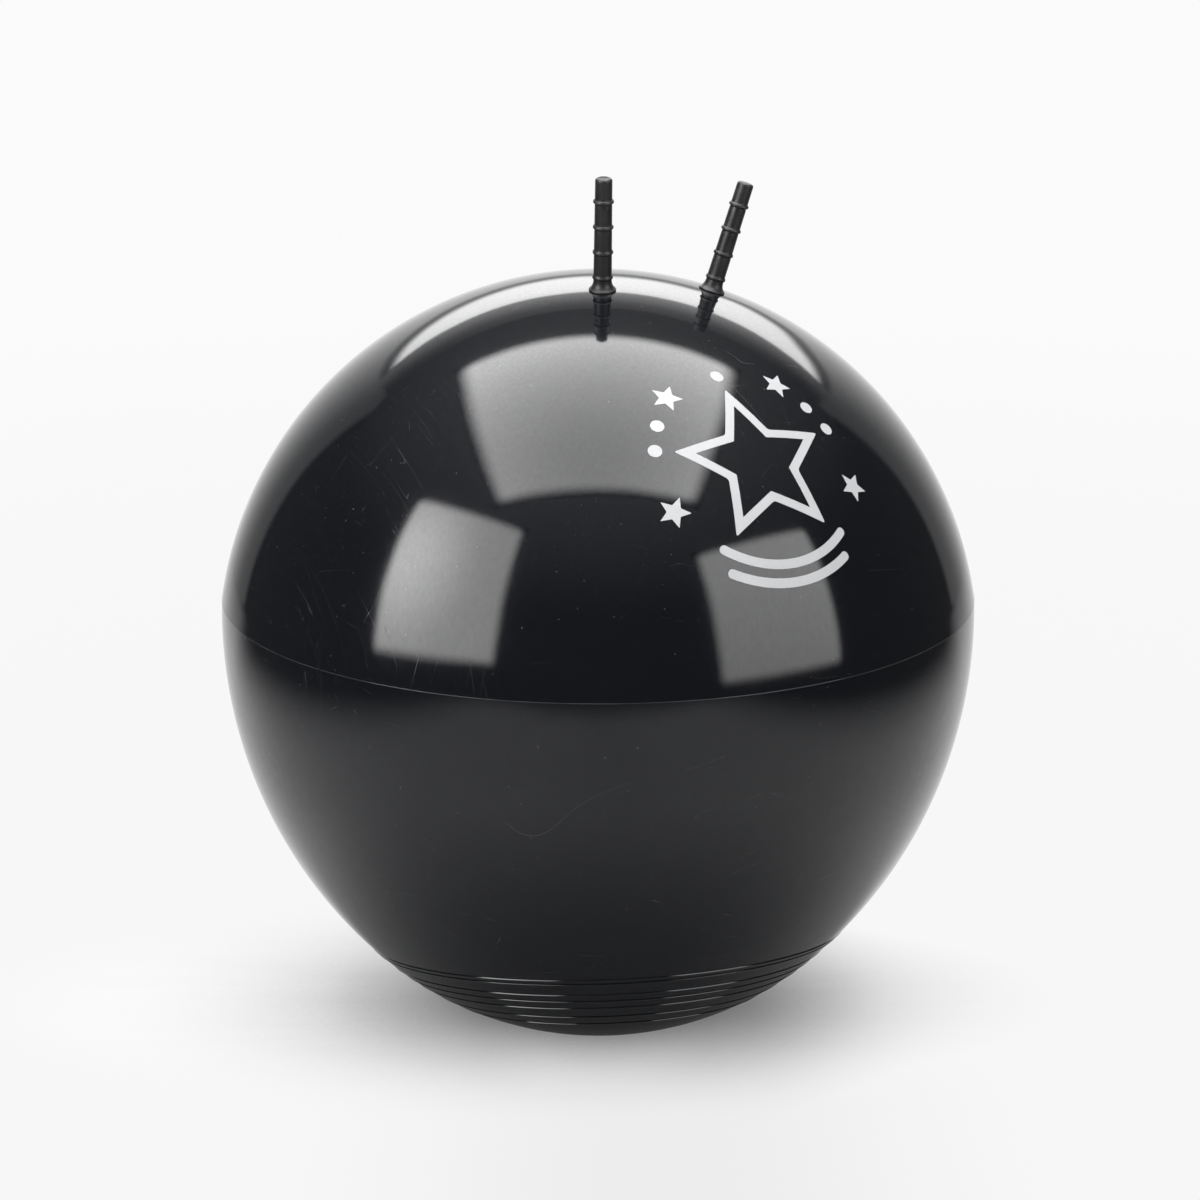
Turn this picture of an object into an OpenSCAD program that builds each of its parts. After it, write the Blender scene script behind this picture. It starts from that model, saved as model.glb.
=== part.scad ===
// Hopper ball: an air-filled ball with two ringed horns to hold on to while sitting on it.
// Two soft skins are welded at the seam. The horns, the valve seat and its plug are pieces of their own.
// The origin is the centre of the flat of the foot, +Z is up, and the printed front faces -Y.

/* [Ball] */
// Diameter at the weld seam
seam_d = 600; // [560:10:700]
// How much lower the dome is than half a ball
dome_drop = 48; // [10:1:100]
// How much larger the radius of the flank's curve, seen from the side, is than the seam's
flank_extra = 79; // [65:1:130]
// Angle by which the flank still widens where it leaves the seam
flank_angle = 3.4; // [0:0.2:8]
// How much smaller the radius of the round base is than the seam's
base_inset = 30; // [10:1:80]
// Diameter of the flat that the ball settles on
foot_d = 116; // [60:2:150]
// Thickness of the skin
skin_t = 0.9; // [0.8:0.1:2]
// Thickness of the skin in the base, which wears on the ground
base_t = 2.4; // [2.2:0.1:4]
// How far the thick base reaches above the highest step
base_rise = 6.6; // [2:0.2:30]
// Sideways lean of the horns and the base rings against the weld seam
lean = 4.8; // [-8:0.2:8]

/* [Seam] */
// Height of the inner lip that the upper skin is welded to
lap_h = 8; // [4:0.5:14]
// Thickness of that lip
lap_t = 1.2; // [0.8:0.1:2]
// Diameter of the weld bead
bead_d = 1.4; // [0.8:0.1:3]

/* [Base rings] */
// Forward tilt of the axis of the rings
rings_forward = 12.7; // [0:0.1:20]
// Angles from that axis to the steps between the rings, from the outside in
step_angles = [45.6, 44.3, 40.7, 38.4, 35.7, 31.9, 28.2];
// Depth of each step
step_h = 1.3; // [0.6:0.1:1.6]

/* [Horns] */
// Height of a horn above the dome
horn_h = 87; // [60:1:130]
// Angle between the two horns
horn_spread = 18.6; // [12:0.2:40]
// Forward tilt of the pair
horn_forward = 9.3; // [0:0.1:25]
// Diameter of a horn at its foot
horn_foot_d = 14; // [12:0.1:26]
// Diameter of a horn at its tip
horn_tip_d = 12.9; // [11:0.1:24]
// Diameter of the flared lip on the dome
flare_d = 20.6; // [18:0.1:40]
// Height of the flare
flare_h = 7.5; // [4:0.1:9]
// Thickness of the flared lip at its edge
lip_t = 1; // [0.6:0.1:2]
// Number of grip rings on a horn
grip_rings = 4; // [2:1:5]
// Diameter of a grip ring
grip_ring_d = 15.7; // [15:0.1:28]
// Distance from the top grip ring to the tip
tip_gap = 18; // [8:0.5:24]
// Height of the lowest grip ring above the dome
first_ring_h = 10.2; // [8:0.1:14]
// Rounding of a grip ring
ring_round = 1.7; // [1:0.1:2.5]
// Rounding of the rim at the tip
tip_round = 2; // [0.8:0.1:3]
// Depth of the dish in the tip
tip_dish = 0.6; // [0.3:0.1:1.2]
// Diameter of the air space in a horn
horn_bore_d = 6; // [3:0.1:8]
// Diameter of the weld flange of a horn, inside the dome
horn_flange_d = 34; // [26:1:60]
// Thickness of that flange
horn_flange_t = 1.4; // [0.8:0.1:3]

/* [Valve] */
// Height of the valve on the back, as an angle above the centre of the dome
valve_elevation = 35; // [20:1:50]
// Diameter of the rim of the seat
rim_d = 24; // [22:0.5:36]
// Height of the rim above the skin
rim_h = 2; // [1.2:0.1:3]
// Diameter of the seat's neck, which passes through the skin
neck_d = 18; // [17:0.5:20]
// Length of the neck below the skin
neck_l = 15; // [12:0.5:24]
// Diameter of the seat's weld flange
seat_flange_d = 34; // [28:1:50]
// Thickness of that flange
seat_flange_t = 1.2; // [0.8:0.1:3]
// Diameter of the air hole
air_hole_d = 9; // [6:0.1:11]
// Diameter of the recess for the plug's head
recess_d = 14.8; // [13:0.1:16]
// Depth of that recess
recess_h = 1.8; // [1:0.1:2.6]
// Width of the fingernail notch in the rim
notch_w = 5; // [3:0.5:8]
// Height of the plug's head
head_h = 2.6; // [2:0.1:4]
// Length of the plug's stem
stem_l = 13; // [8:0.5:15]
// Length of the taper at the stem's end
taper_l = 3; // [1:0.5:5]
// Diameter of the stem's end
taper_d = 5.6; // [3:0.1:5.8]

/* [Print] */
// Height of the print on the front, as an angle above the centre of the dome
print_elevation = 41; // [25:1:50]
// Width of the printed lines
line_w = 6.6; // [3:0.2:10]
// Thickness of the ink
ink_t = 0.12; // [0.05:0.01:0.3]
// Distance from the centre of the star to its points
star_r = 64; // [40:1:70]
// Distance from the centre of the star to its inner corners
star_inner_r = 31; // [20:1:40]
// Distance from the star's points out to the inner arc
arc_gap = 13; // [9:0.5:24]
// Distance between the two arcs
arc_pitch = 13; // [10:0.5:24]
// Distance from the star's points out to the centres of the small stars
small_star_gap = 16; // [10:0.5:30]
// Radius of a small star
small_star_r = 12; // [6:0.5:20]
// Radius of a dot
dot_r = 5; // [2:0.5:8]

/* [Hidden] */

// Gap that the weld fills between a piece and the skin
weld_gap = 0.05;
// Radial clearance of the plug's stem in the air hole
stem_clearance = 0.05;
// Radial clearance of the plug's head in its recess
head_clearance = 0.4;
// Rounding of the plug's head and of the seat's rim
edge_round = 0.8;
// How far a cut runs past the face that it opens
overrun = 5;
// How far outside the base the steps' cutter ends each ring
step_clearance = 0.05;
// Inner radius of a small star as a share of its outer radius
small_star_share = 0.45;
// Facets of the large and the small round shapes
large_fn = 360;
small_fn = 96;

seam_r = seam_d / 2;
dome_h = seam_r - dome_drop;
flank_r = seam_r + flank_extra;
base_r = seam_r - base_inset;
dome_r = (pow(seam_r, 2) + pow(dome_h, 2)) / (2 * dome_h);
// The flank's arc starts at the seam, and the base's arc lies on the axis and meets the flank smoothly
flank_x = seam_r - flank_r * cos(flank_angle);
flank_z = -flank_r * sin(flank_angle);
base_z = flank_z - sqrt(pow(flank_r - base_r, 2) - pow(flank_x, 2));
joint_angle = atan2(flank_z - base_z, -flank_x);
foot_z = base_z - sqrt(pow(base_r, 2) - pow(foot_d / 2, 2));
// The axis of the rings is tilted both ways, so the steps reach highest on one side
rings_tilt = acos(cos(lean) * cos(rings_forward));
thick_z = base_z - base_r * cos(step_angles[0] + rings_tilt) + base_rise;
// Heights above the floor
seam_height = -foot_z;
dome_height = seam_height + dome_h - dome_r;
base_height = seam_height + base_z;
tip_z = dome_r + horn_h;
grip_pitch = (horn_h - first_ring_h - tip_gap) / (grip_rings - 1);
stem_r = air_hole_d / 2 - stem_clearance;
recess_z = dome_r + rim_h - recess_h;
arc_r = star_r + arc_gap;
small_star_place_r = star_r + small_star_gap;

// Moves what is drawn about the centre of the dome
module on_dome() translate([0, 0, dome_height]) children();

// Outline of the dome above the seam, drawn in by inset
module dome_outline(inset) intersection() {
    circle(r = dome_r - inset, $fn = large_fn);
    translate([0, dome_r - dome_h]) square([seam_d, dome_h]);
}

// Outline of the belly from the seam down, drawn in by inset. The base's arc lies inside the flank's
module belly_outline(inset) {
    joint_z = base_z - (base_r - inset) * sin(joint_angle);
    intersection() {
        translate([flank_x, flank_z]) circle(r = flank_r - inset, $fn = large_fn);
        translate([0, joint_z]) square([seam_d, -joint_z]);
    }
    intersection() {
        translate([0, base_z]) circle(r = base_r - inset, $fn = large_fn);
        translate([0, base_z - base_r]) square([seam_d, base_r]);
    }
}

// What lies above a height z
module above(z) intersection() {
    children();
    translate([0, z]) square([seam_d, -z]);
}

// The air space of the belly: the base is thicker than the flank, and flat over the foot
module belly_air_outline() {
    above(thick_z) belly_outline(skin_t);
    above(foot_z + base_t) translate([0, base_z]) circle(r = base_r - base_t, $fn = large_fn);
}

// The weld bead, half on each skin
module bead_outline() translate([seam_r, 0]) circle(d = bead_d, $fn = small_fn);

// Point at an angle from straight down and a distance from the centre
function below(angle, r) = [r * sin(angle), -r * cos(angle)];

// The steps cut a saw-tooth into the skin: each ring starts a step in and ends level with the base
module step_cutter() {
    last = len(step_angles) - 1;
    teeth = [
        for (i = [0 : last - 1])
            each [
                below(step_angles[i], base_r - step_h),
                below(step_angles[i + 1], base_r + step_clearance)
            ]
    ];
    rim = [below(step_angles[last], flank_r), below(step_angles[0], flank_r)];
    rotate_extrude($fn = large_fn) polygon(concat(teeth, rim));
}

// Turns what is drawn about the axis of the base rings
module at_rings() translate([0, 0, base_height]) rotate([0, lean, 0]) rotate([-rings_forward, 0, 0])
    children();

// Turns what is drawn upright at the centre of the dome into the place of a horn
module at_horn(side) on_dome() rotate([0, lean, 0]) rotate([horn_forward, 0, 0])
    rotate([0, side * horn_spread / 2, 0]) children();

module at_valve() on_dome() rotate([valve_elevation - 90, 0, 0]) children();

module upper_shell() color([0.09, 0.09, 0.1]) difference() {
    translate([0, 0, seam_height]) rotate_extrude($fn = large_fn) {
        difference() {
            translate([0, dome_h - dome_r]) dome_outline(0);
            translate([0, dome_h - dome_r]) circle(r = dome_r - skin_t, $fn = large_fn);
        }
        intersection() {
            bead_outline();
            translate([seam_r - bead_d / 2, 0]) square(bead_d);
        }
    }
    for (side = [-1, 1])
        at_horn(side) cylinder(h = tip_z, d = horn_foot_d + 2 * weld_gap, $fn = small_fn);
    at_valve() cylinder(h = tip_z, d = neck_d + 2 * weld_gap, $fn = small_fn);
}

// Lip of the lower skin, which the upper skin overlaps. Its root lies along the flank
module lap_outline() {
    intersection() {
        translate([0, dome_h - dome_r]) difference() {
            circle(r = dome_r - skin_t - weld_gap, $fn = large_fn);
            circle(r = dome_r - skin_t - weld_gap - lap_t, $fn = large_fn);
        }
        translate([0, -lap_h / 2]) square([seam_d, lap_h * 3 / 2]);
    }
    intersection() {
        translate([flank_x, flank_z]) difference() {
            circle(r = flank_r - skin_t / 2, $fn = large_fn);
            circle(r = flank_r - skin_t - lap_t, $fn = large_fn);
        }
        translate([0, -lap_h]) square([seam_d, lap_h - weld_gap]);
    }
}

module lower_shell() color([0.12, 0.12, 0.13]) difference() {
    translate([0, 0, seam_height]) rotate_extrude($fn = large_fn) {
        difference() {
            above(foot_z) belly_outline(0);
            belly_air_outline();
        }
        lap_outline();
        intersection() {
            bead_outline();
            translate([seam_r - bead_d / 2, -bead_d]) square(bead_d);
        }
    }
    at_rings() step_cutter();
}

// Flare of a horn's foot: a hollow curve from the barrel out to the thin lip
module flare_outline() {
    reach = (flare_d - horn_foot_d) / 2;
    hollow_r = (pow(reach, 2) + pow(flare_h - lip_t, 2)) / (2 * reach);
    difference() {
        translate([0, dome_r - lip_t]) square([flare_d / 2, flare_h + lip_t]);
        translate([horn_foot_d / 2 + hollow_r, dome_r + flare_h]) circle(r = hollow_r, $fn = small_fn);
    }
}

module barrel_outline() {
    tip_r = horn_tip_d / 2;
    polygon([
        [0, dome_r - skin_t], [horn_foot_d / 2, dome_r - skin_t], [horn_foot_d / 2, dome_r + flare_h],
        [tip_r, tip_z - tip_round], [tip_r - tip_round, tip_z], [0, tip_z]
    ]);
    translate([tip_r - tip_round, tip_z - tip_round]) circle(r = tip_round, $fn = small_fn);
    for (i = [0 : grip_rings - 1])
        translate([grip_ring_d / 2 - ring_round, dome_r + first_ring_h + i * grip_pitch])
            circle(r = ring_round, $fn = small_fn);
}

// Weld flange of a given diameter and thickness, against the inside of the dome
module flange_outline(d, t) intersection() {
    difference() {
        circle(r = dome_r - skin_t - weld_gap, $fn = large_fn);
        circle(r = dome_r - skin_t - weld_gap - t, $fn = large_fn);
    }
    square([d / 2, dome_r]);
}

module horn_outline() {
    dish_r = (pow(horn_tip_d / 2 - tip_round, 2) + pow(tip_dish, 2)) / (2 * tip_dish);
    difference() {
        union() {
            difference() {
                union() {
                    flare_outline();
                    barrel_outline();
                }
                circle(r = dome_r + weld_gap, $fn = large_fn);
            }
            translate([0, dome_r - skin_t - horn_flange_t])
                square([horn_foot_d / 2, skin_t + horn_flange_t + lip_t]);
            flange_outline(horn_flange_d, horn_flange_t);
        }
        translate([0, tip_z + dish_r - tip_dish]) circle(r = dish_r, $fn = small_fn);
        square([horn_bore_d / 2, tip_z - grip_pitch / 2]);
    }
}

module horn(side) color([0.16, 0.16, 0.165]) at_horn(side)
    rotate_extrude($fn = small_fn) horn_outline();

module left_horn() horn(-1);

module right_horn() horn(1);

module seat_outline() difference() {
    union() {
        difference() {
            union() {
                translate([0, dome_r - rim_h]) square([rim_d / 2, 2 * rim_h - edge_round]);
                translate([0, dome_r - rim_h]) square([rim_d / 2 - edge_round, 2 * rim_h]);
                translate([rim_d / 2 - edge_round, dome_r + rim_h - edge_round])
                    circle(r = edge_round, $fn = small_fn);
            }
            circle(r = dome_r + weld_gap, $fn = large_fn);
        }
        translate([0, dome_r - neck_l]) square([neck_d / 2, neck_l + rim_h / 2]);
        flange_outline(seat_flange_d, seat_flange_t);
    }
    translate([0, dome_r - neck_l - overrun]) square([air_hole_d / 2, neck_l + rim_h + 2 * overrun]);
    translate([0, recess_z]) square([recess_d / 2, recess_h + overrun]);
}

module valve_seat() color([0.1, 0.1, 0.11]) at_valve() difference() {
    rotate_extrude($fn = small_fn) seat_outline();
    translate([-notch_w / 2, 0, recess_z]) cube([notch_w, rim_d, recess_h + overrun]);
}

module plug_outline() {
    head_r = recess_d / 2 - head_clearance;
    translate([0, recess_z]) polygon([
        [0, -stem_l], [taper_d / 2, -stem_l], [stem_r, taper_l - stem_l], [stem_r, 0],
        [head_r, 0], [head_r, head_h - edge_round], [head_r - edge_round, head_h], [0, head_h]
    ]);
    translate([head_r - edge_round, recess_z + head_h - edge_round])
        circle(r = edge_round, $fn = small_fn);
}

module valve_plug() color([0.13, 0.13, 0.135]) at_valve()
    rotate_extrude($fn = small_fn) plug_outline();

function polar(angle, r) = [r * cos(angle), r * sin(angle)];

function star_points(outer, inner) = [
    for (i = [0 : 9]) polar(90 + i * 36, i % 2 == 0 ? outer : inner)
];

// A star drawn as a line of even width
module star_line(outer, inner, width) {
    reach = outer * inner * sin(36) / norm(polar(36, inner) - [outer, 0]);
    difference() {
        polygon(star_points(outer, inner));
        scale(1 - width / reach) polygon(star_points(outer, inner));
    }
}

module arc_line(r, from, to, width) intersection() {
    difference() {
        circle(r = r + width / 2, $fn = large_fn);
        circle(r = r - width / 2, $fn = large_fn);
    }
    polygon([[0, 0], polar(from, 2 * r), polar((from + to) / 2, 2 * r), polar(to, 2 * r)]);
}

module artwork() {
    star_line(star_r, star_inner_r, line_w);
    for (i = [0, 1]) arc_line(arc_r + i * arc_pitch, 230 + i * 8, 310 - i * 8, line_w);
    for (angle = [126, 54, 198, -18])
        translate(polar(angle, small_star_place_r)) rotate(angle - 90)
            polygon(star_points(small_star_r, small_star_r * small_star_share));
    for (angle = [90, 162, 18, 146, 34])
        translate(polar(angle, arc_r)) circle(r = dot_r, $fn = small_fn);
}

module print() color([0.84, 0.85, 0.86]) on_dome() intersection() {
    rotate([90 - print_elevation, 0, 0]) linear_extrude(height = dome_r + overrun) artwork();
    difference() {
        sphere(r = dome_r + ink_t, $fn = large_fn);
        sphere(r = dome_r, $fn = large_fn);
    }
}

upper_shell();
lower_shell();
left_horn();
right_horn();
valve_seat();
valve_plug();
print();
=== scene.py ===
import math

import bpy
from mathutils import Matrix, Vector


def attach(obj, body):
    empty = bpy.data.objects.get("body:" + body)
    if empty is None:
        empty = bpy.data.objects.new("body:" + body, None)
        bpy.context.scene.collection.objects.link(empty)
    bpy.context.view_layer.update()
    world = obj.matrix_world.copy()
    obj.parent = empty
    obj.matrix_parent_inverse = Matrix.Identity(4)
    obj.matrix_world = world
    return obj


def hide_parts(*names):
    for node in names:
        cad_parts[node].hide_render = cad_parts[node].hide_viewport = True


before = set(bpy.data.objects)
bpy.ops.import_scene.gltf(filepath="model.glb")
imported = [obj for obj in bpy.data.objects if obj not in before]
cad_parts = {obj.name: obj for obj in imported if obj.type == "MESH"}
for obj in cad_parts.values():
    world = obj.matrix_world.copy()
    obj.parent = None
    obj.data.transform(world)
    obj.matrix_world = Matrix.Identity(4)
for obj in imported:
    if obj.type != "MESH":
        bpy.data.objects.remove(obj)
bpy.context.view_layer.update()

bpy.ops.object.select_all(action="DESELECT")
scene = bpy.context.scene
scene.view_settings.view_transform = "Standard"

MM = 0.001

# Sizes of the ball, in metres
SEAM_R = 0.3
DOME_H = SEAM_R - 48 * MM
DOME_R = (SEAM_R**2 + DOME_H**2) / (2 * DOME_H)
FLANK_R = SEAM_R + 79 * MM
FLANK_ANGLE = math.radians(3.4)
BASE_R = SEAM_R - 30 * MM
FOOT_R = 58 * MM
SKIN_T = 0.9 * MM
BASE_T = 2.4 * MM
BEAD_R = 0.05 * MM
LEAN = math.radians(4.8)
FLANK_X = SEAM_R - FLANK_R * math.cos(FLANK_ANGLE)
FLANK_Z = -FLANK_R * math.sin(FLANK_ANGLE)
BASE_Z = FLANK_Z - math.sqrt((FLANK_R - BASE_R) ** 2 - FLANK_X**2)
FOOT_Z = BASE_Z - math.sqrt(BASE_R**2 - FOOT_R**2)
JOINT_POLAR = math.atan2(-FLANK_X, FLANK_Z - BASE_Z)
SEAM_HEIGHT = -FOOT_Z
DOME_HEIGHT = SEAM_HEIGHT + DOME_H - DOME_R
BASE_HEIGHT = SEAM_HEIGHT + BASE_Z

# Sizes of the base rings, with their angles in degrees
RINGS_FORWARD = math.radians(12.7)
RING_ANGLES = [45.6, 44.3, 40.7, 38.4, 35.7, 31.9, 28.2]
LEDGE_W = 1.3 * MM
LEDGE_TILTS = [37, 46, 36, 41, 37, 39, 37]
LEDGE_HOLLOW = 0.035 * MM
ROOF_TILT = 18
LIP_STAND = 0.45 * MM
LIP_TAPER = 2.6 * MM
LIP_POWER = 1.5

# Sizes of the horns
HORN_H = 87 * MM
HORN_SPREAD = math.radians(18.6)
HORN_FORWARD = math.radians(9.3)
HORN_FOOT_R = 7 * MM
HORN_TIP_R = 6.45 * MM
HORN_SINK = 0.5 * MM
FLARE_R = 10.3 * MM
FLARE_H = 7.5 * MM
LIP_T = 1 * MM
GRIP_RINGS = 4
GRIP_RING_R = 7.85 * MM
GRIP_PITCH = 19.6 * MM
FIRST_RING_H = 10.2 * MM
TIP_ROUND = 2 * MM
TIP_DISH = 0.6 * MM

# Sizes of the valve
VALVE_ELEVATION = math.radians(35)
RIM_R = 12 * MM
RIM_H = 2 * MM
RIM_FOOT = 0.35 * MM
RIM_TUCK = 0.1 * MM
NECK_R = 9 * MM
NECK_L = 15 * MM
NECK_STEP = 0.2 * MM
SEAT_FLANGE_R = 17 * MM
SEAT_FLANGE_T = 1.2 * MM
AIR_HOLE_R = 4.5 * MM
AIR_HOLE_EDGE = 0.3 * MM
RECESS_R = 7.4 * MM
RECESS_H = 1.8 * MM
RECESS_ROUND = 0.4 * MM
NOTCH_W = 5 * MM
NOTCH_STEP = 0.1 * MM
NOTCH_ROUND = 0.7 * MM
HEAD_R = 7 * MM
HEAD_H = 2.6 * MM
HEAD_EDGE = 0.25 * MM
STEM_R = 4.45 * MM
STEM_L = 13 * MM
STEM_EDGE = 0.4 * MM
TAPER_L = 3 * MM
TAPER_R = 2.8 * MM
EDGE_ROUND = 0.8 * MM
WELD_GAP = 0.05 * MM

# Sizes of the print, with its angles in degrees
PRINT_ELEVATION = math.radians(41)
LINE_W = 6.6 * MM
INK_T = 0.12 * MM
INK_CLEAR = 0.02 * MM
STAR_POINTS = 5
STAR_R = 64 * MM
STAR_INNER_R = 31 * MM
STAR_ROUND = 2 * MM
STAR_INSIDE_ROUND = 0.5 * MM
ARC_R = STAR_R + 13 * MM
ARC_PITCH = 13 * MM
ARC_START = 230
ARC_END = 310
ARC_INSET = 8
SMALL_STAR_PLACE_R = STAR_R + 16 * MM
SMALL_STAR_R = 12 * MM
SMALL_STAR_SHARE = 0.45
SMALL_STAR_ROUND = 0.6 * MM
SMALL_STAR_ANGLES = (126, 54, 198, -18)
DOT_R = 5 * MM
DOT_ANGLES = (90, 162, 18, 146, 34)

# Fineness of the meshes
BALL_STEPS = 256
SMALL_STEPS = 96
DOT_STEPS = 40
ARC_STEPS = 28
ARC_END_STEPS = 10
ARC_END_GAP = 15
ROUND_STEPS = 8
NOTCH_ROUND_STEPS = 3
STAR_ROUND_STEPS = 4
INK_GRID = 6 * MM
INK_GRID_REACH = 102 * MM
MERGE = 0.002 * MM
SMOOTH_ANGLE = math.radians(32)

ON_DOME = Matrix.Translation((0, 0, DOME_HEIGHT))
AT_VALVE = ON_DOME @ Matrix.Rotation(VALVE_ELEVATION - math.pi / 2, 4, "X")
AT_PRINT = ON_DOME @ Matrix.Rotation(math.pi / 2 - PRINT_ELEVATION, 4, "X")
AT_RINGS = (
    Matrix.Translation((0, 0, BASE_HEIGHT))
    @ Matrix.Rotation(LEAN, 4, "Y")
    @ Matrix.Rotation(-RINGS_FORWARD, 4, "X")
)


def at_horn(side):
    """Place of the horn on one side: -1 is left and 1 is right."""
    return (
        ON_DOME
        @ Matrix.Rotation(LEAN, 4, "Y")
        @ Matrix.Rotation(HORN_FORWARD, 4, "X")
        @ Matrix.Rotation(side * HORN_SPREAD / 2, 4, "Y")
    )


# Camera
CAMERA_AZIMUTH = math.radians(-30)
CAMERA_ELEVATION = math.radians(15.917)
CAMERA_DISTANCE = 1.95
CAMERA_LENS = 72.55
CAMERA_SENSOR = 36
CAMERA_SHIFT = (0.0016, -0.0132)
to_camera = Vector((
    math.sin(CAMERA_AZIMUTH) * math.cos(CAMERA_ELEVATION),
    -math.cos(CAMERA_AZIMUTH) * math.cos(CAMERA_ELEVATION),
    math.sin(CAMERA_ELEVATION),
))
bpy.ops.object.camera_add(
    location=Vector((0, 0, SEAM_HEIGHT)) + to_camera * CAMERA_DISTANCE,
    rotation=(-to_camera).to_track_quat("-Z", "Y").to_euler(),
)
camera = bpy.context.object
camera.name = "camera"
camera.data.sensor_width = CAMERA_SENSOR
camera.data.lens = CAMERA_LENS
camera.data.shift_x, camera.data.shift_y = CAMERA_SHIFT
scene.camera = camera


# Modelling helpers
def span(start, end, steps):
    """Evenly spaced values from start to end."""
    return [start + (end - start) * i / steps for i in range(steps + 1)]


def edit(mode="EDIT"):
    bpy.ops.object.mode_set(mode=mode)


def select_only(piece):
    bpy.ops.object.select_all(action="DESELECT")
    piece.select_set(True)
    bpy.context.view_layer.objects.active = piece


def start_point(name, spot):
    """One vertex at its spot, in edit mode."""
    bpy.ops.object.select_all(action="DESELECT")
    bpy.ops.mesh.primitive_plane_add(size=MM, location=(0, 0, 0))
    piece = bpy.context.object
    piece.name = piece.data.name = name
    edit()
    bpy.ops.mesh.merge(type="CENTER")
    bpy.ops.transform.translate(value=spot)
    return piece


def extrude_along(spots):
    """Extrudes the selected vertex from spot to spot."""
    for here, there in zip(spots, spots[1:]):
        step = Vector(there) - Vector(here)
        bpy.ops.mesh.extrude_region_move(TRANSFORM_OT_translate={"value": step})


def clean_up():
    """Merges doubles and turns the faces outwards, in edit mode."""
    bpy.ops.mesh.select_all(action="SELECT")
    bpy.ops.mesh.remove_doubles(threshold=MERGE)
    bpy.ops.mesh.normals_make_consistent(inside=False)


def spun(name, outline, steps):
    """Spins an outline of (radius, height) about the upright axis."""
    spots = [(radius, 0, height) for radius, height in outline]
    piece = start_point(name, spots[0])
    extrude_along(spots)
    bpy.ops.mesh.select_all(action="SELECT")
    bpy.ops.mesh.spin(steps=steps, angle=math.tau, center=(0, 0, 0), axis=(0, 0, 1))
    clean_up()
    edit("OBJECT")
    return piece


def place(piece, matrix):
    """Puts a piece in its place, with the place in its mesh."""
    piece.data.transform(matrix)
    piece.data.update()


def cut_with(piece, cutter):
    """Cuts a piece with another mesh, which is then removed."""
    select_only(piece)
    cut = piece.modifiers.new("cut", "BOOLEAN")
    cut.operation = "DIFFERENCE"
    cut.solver = "EXACT"
    cut.object = cutter
    bpy.ops.object.modifier_apply(modifier=cut.name)
    bpy.data.objects.remove(cutter)


def finish_piece(piece, body, node, material):
    """Smooths a piece, gives it its material and hands it over."""
    select_only(piece)
    bpy.ops.object.shade_smooth_by_angle(angle=SMOOTH_ANGLE)
    piece.data.materials.clear()
    piece.data.materials.append(material)
    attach(piece, body)
    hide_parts(node)


# Node helpers
SOCKETS = {"float": "NodeSocketFloat", "vector": "NodeSocketVector"}


def new_group(name, inputs, output):
    """A node group with named inputs of a kind each, and one float output."""
    group = bpy.data.node_groups.new(name, "ShaderNodeTree")
    for label, kind in inputs.items():
        group.interface.new_socket(label, in_out="INPUT", socket_type=SOCKETS[kind])
    group.interface.new_socket(output, in_out="OUTPUT", socket_type=SOCKETS["float"])
    given = group.nodes.new("NodeGroupInput").outputs
    result = group.nodes.new("NodeGroupOutput").inputs[output]
    return group, given, result


def fill_inputs(tree, node, values):
    """Gives a node's inputs their values. A value may be another node's socket."""
    for key, value in values.items():
        if isinstance(value, bpy.types.NodeSocket):
            tree.links.new(value, node.inputs[key])
        else:
            node.inputs[key].default_value = value


def add_node(tree, kind, values=None, **settings):
    """A node with its settings and the values of its inputs."""
    node = tree.nodes.new(kind)
    for name, value in settings.items():
        setattr(node, name, value)
    fill_inputs(tree, node, values or {})
    return node


def placed_group(tree, group, values):
    return add_node(tree, "ShaderNodeGroup", values, node_tree=group).outputs[0]


def maths(tree, operation, first, second=0.0):
    node = add_node(tree, "ShaderNodeMath", {0: first, 1: second}, operation=operation)
    return node.outputs[0]


def distance_between(tree, first, second=(0, 0, 0)):
    node = add_node(tree, "ShaderNodeVectorMath", {0: first, 1: second}, operation="DISTANCE")
    return node.outputs["Value"]


def axes(tree, vector):
    """The X, Y and Z of a vector, by name."""
    return add_node(tree, "ShaderNodeSeparateXYZ", {"Vector": vector}).outputs


def ramp(tree, value, low, high, to_low=0.0, to_high=1.0):
    """Maps a value smoothly from one range to another."""
    node = add_node(
        tree, "ShaderNodeMapRange",
        {"Value": value, "From Min": low, "From Max": high, "To Min": to_low, "To Max": to_high},
        interpolation_type="SMOOTHSTEP",
    )
    return node.outputs["Result"]


def noise(tree, vector, scale, detail=2.0, roughness=0.5, distortion=0.0):
    node = add_node(
        tree, "ShaderNodeTexNoise",
        {"Vector": vector, "Scale": scale, "Detail": detail, "Roughness": roughness,
         "Distortion": distortion},
    )
    return node.outputs["Fac"]


def mix(tree, factor, first, second):
    """Mixes two colours by a factor."""
    values = {0: factor, 6: first, 7: second}
    return add_node(tree, "ShaderNodeMix", values, data_type="RGBA").outputs[2]


def mix_shaders(tree, share, first, second):
    return add_node(tree, "ShaderNodeMixShader", {0: share, 1: first, 2: second}).outputs[0]


def turned(tree, where, angle, stretch):
    """The coordinates turned and stretched, so that a pattern runs in one direction."""
    node = add_node(tree, "ShaderNodeMapping", {"Vector": where, "Rotation": angle, "Scale": stretch})
    return node.outputs["Vector"]


def bump(tree, height, distance, under=None):
    """A bumpy normal, on top of another one if it is given."""
    values = {"Height": height, "Distance": distance, "Strength": 1.0}
    if under is not None:
        values["Normal"] = under
    return add_node(tree, "ShaderNodeBump", values).outputs[0]


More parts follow.
